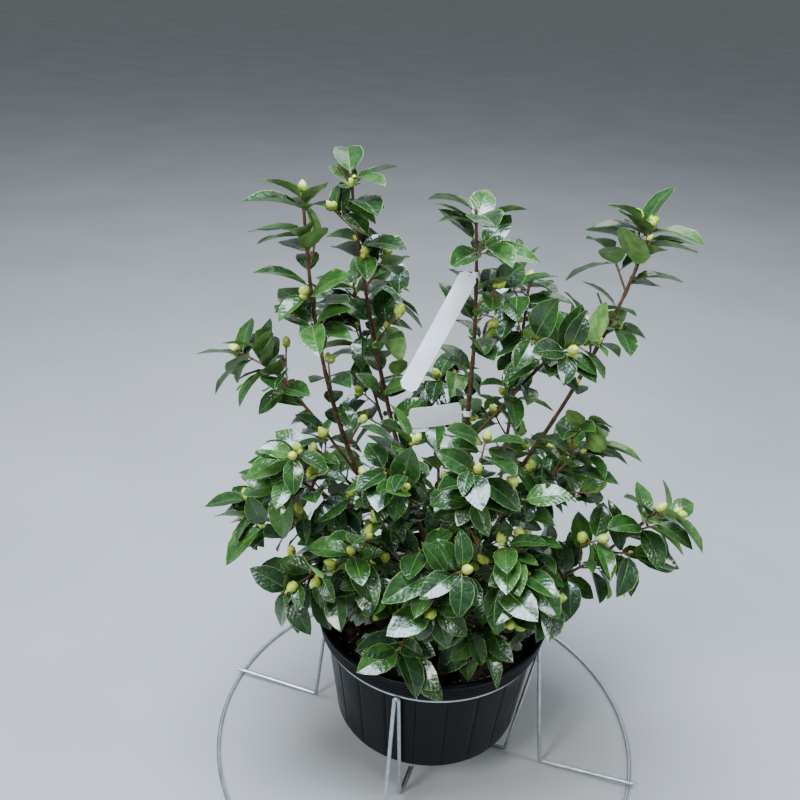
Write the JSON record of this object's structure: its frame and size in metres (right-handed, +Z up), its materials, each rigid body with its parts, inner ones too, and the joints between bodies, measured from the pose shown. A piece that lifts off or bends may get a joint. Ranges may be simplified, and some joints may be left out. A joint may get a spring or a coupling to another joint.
{
  "type": "potted camellia shrub",
  "caption": "Camellia shrub with tall leafy shoots and fat flower buds, in a black nursery pot that hangs in a round wire stand with bent wire legs.",
  "frame": {"origin": "on the axis of the pot and the stand, on the ground under the stand's ring", "axes": "+X to the right and +Y to the back as the picture sees it, +Z up along the pot's axis"},
  "size_m": [0.699, 0.699, 0.9456],
  "materials": {
    "bark": "smooth dark reddish-brown bark",
    "leaf": "wet, glossy dark green leaves",
    "pot": "moulded black plastic, slightly glossy",
    "potting_mix": "moist chopped bark",
    "wire": "galvanised wire",
    "tag": "blank white plant tag",
    "fallen_leaf": "dry pale leaf"
  },
  "bodies": {
    "root": {"bough_back_centre": "bark", "bough_back_left": "bark", "bough_back_left_low": "bark", "bough_back_right": "bark", "bough_back_right_low": "bark", "bough_centre_tall": "bark", "bough_front_upper_left": "bark", "bough_front_upper_right": "bark", "bough_left_far": "bark", "bough_left_low": "bark", "bough_left_middle": "bark", "bough_left_tall": "bark", "bough_left_upper": "bark", "bough_middle_tall": "bark", "bough_right_arm": "bark", "bough_right_low": "bark", "bough_right_middle": "bark", "bough_right_tall": "bark", "fallen_leaf": "fallen_leaf", "foliage_back_centre": "leaf", "foliage_back_left": "leaf", "foliage_back_left_low": "leaf", "foliage_back_right": "leaf", "foliage_back_right_low": "leaf", "foliage_centre_tall": "leaf", "foliage_front": "leaf", "foliage_front_left": "leaf", "foliage_front_right": "leaf", "foliage_front_upper_left": "leaf", "foliage_front_upper_right": "leaf", "foliage_left_far": "leaf", "foliage_left_low": "leaf", "foliage_left_middle": "leaf", "foliage_left_tall": "leaf", "foliage_left_upper": "leaf", "foliage_middle_tall": "leaf", "foliage_right_arm": "leaf", "foliage_right_low": "leaf", "foliage_right_middle": "leaf", "foliage_right_tall": "leaf", "foliage_skirt_back": "leaf", "foliage_skirt_back_left": "leaf", "foliage_skirt_back_right": "leaf", "foliage_skirt_front": "leaf", "foliage_skirt_front_left": "leaf", "foliage_skirt_front_right": "leaf", "foliage_skirt_left": "leaf", "foliage_skirt_right": "leaf", "pot": "pot", "potting_mix": "potting_mix", "stand_ground_ring": "wire", "stand_leg_1": "wire", "stand_leg_2": "wire", "stand_leg_3": "wire", "stand_leg_4": "wire", "stand_top_ring": "wire", "tag_long": "tag", "tag_short": "tag", "trunk": "bark"}
  },
  "joints": []
}
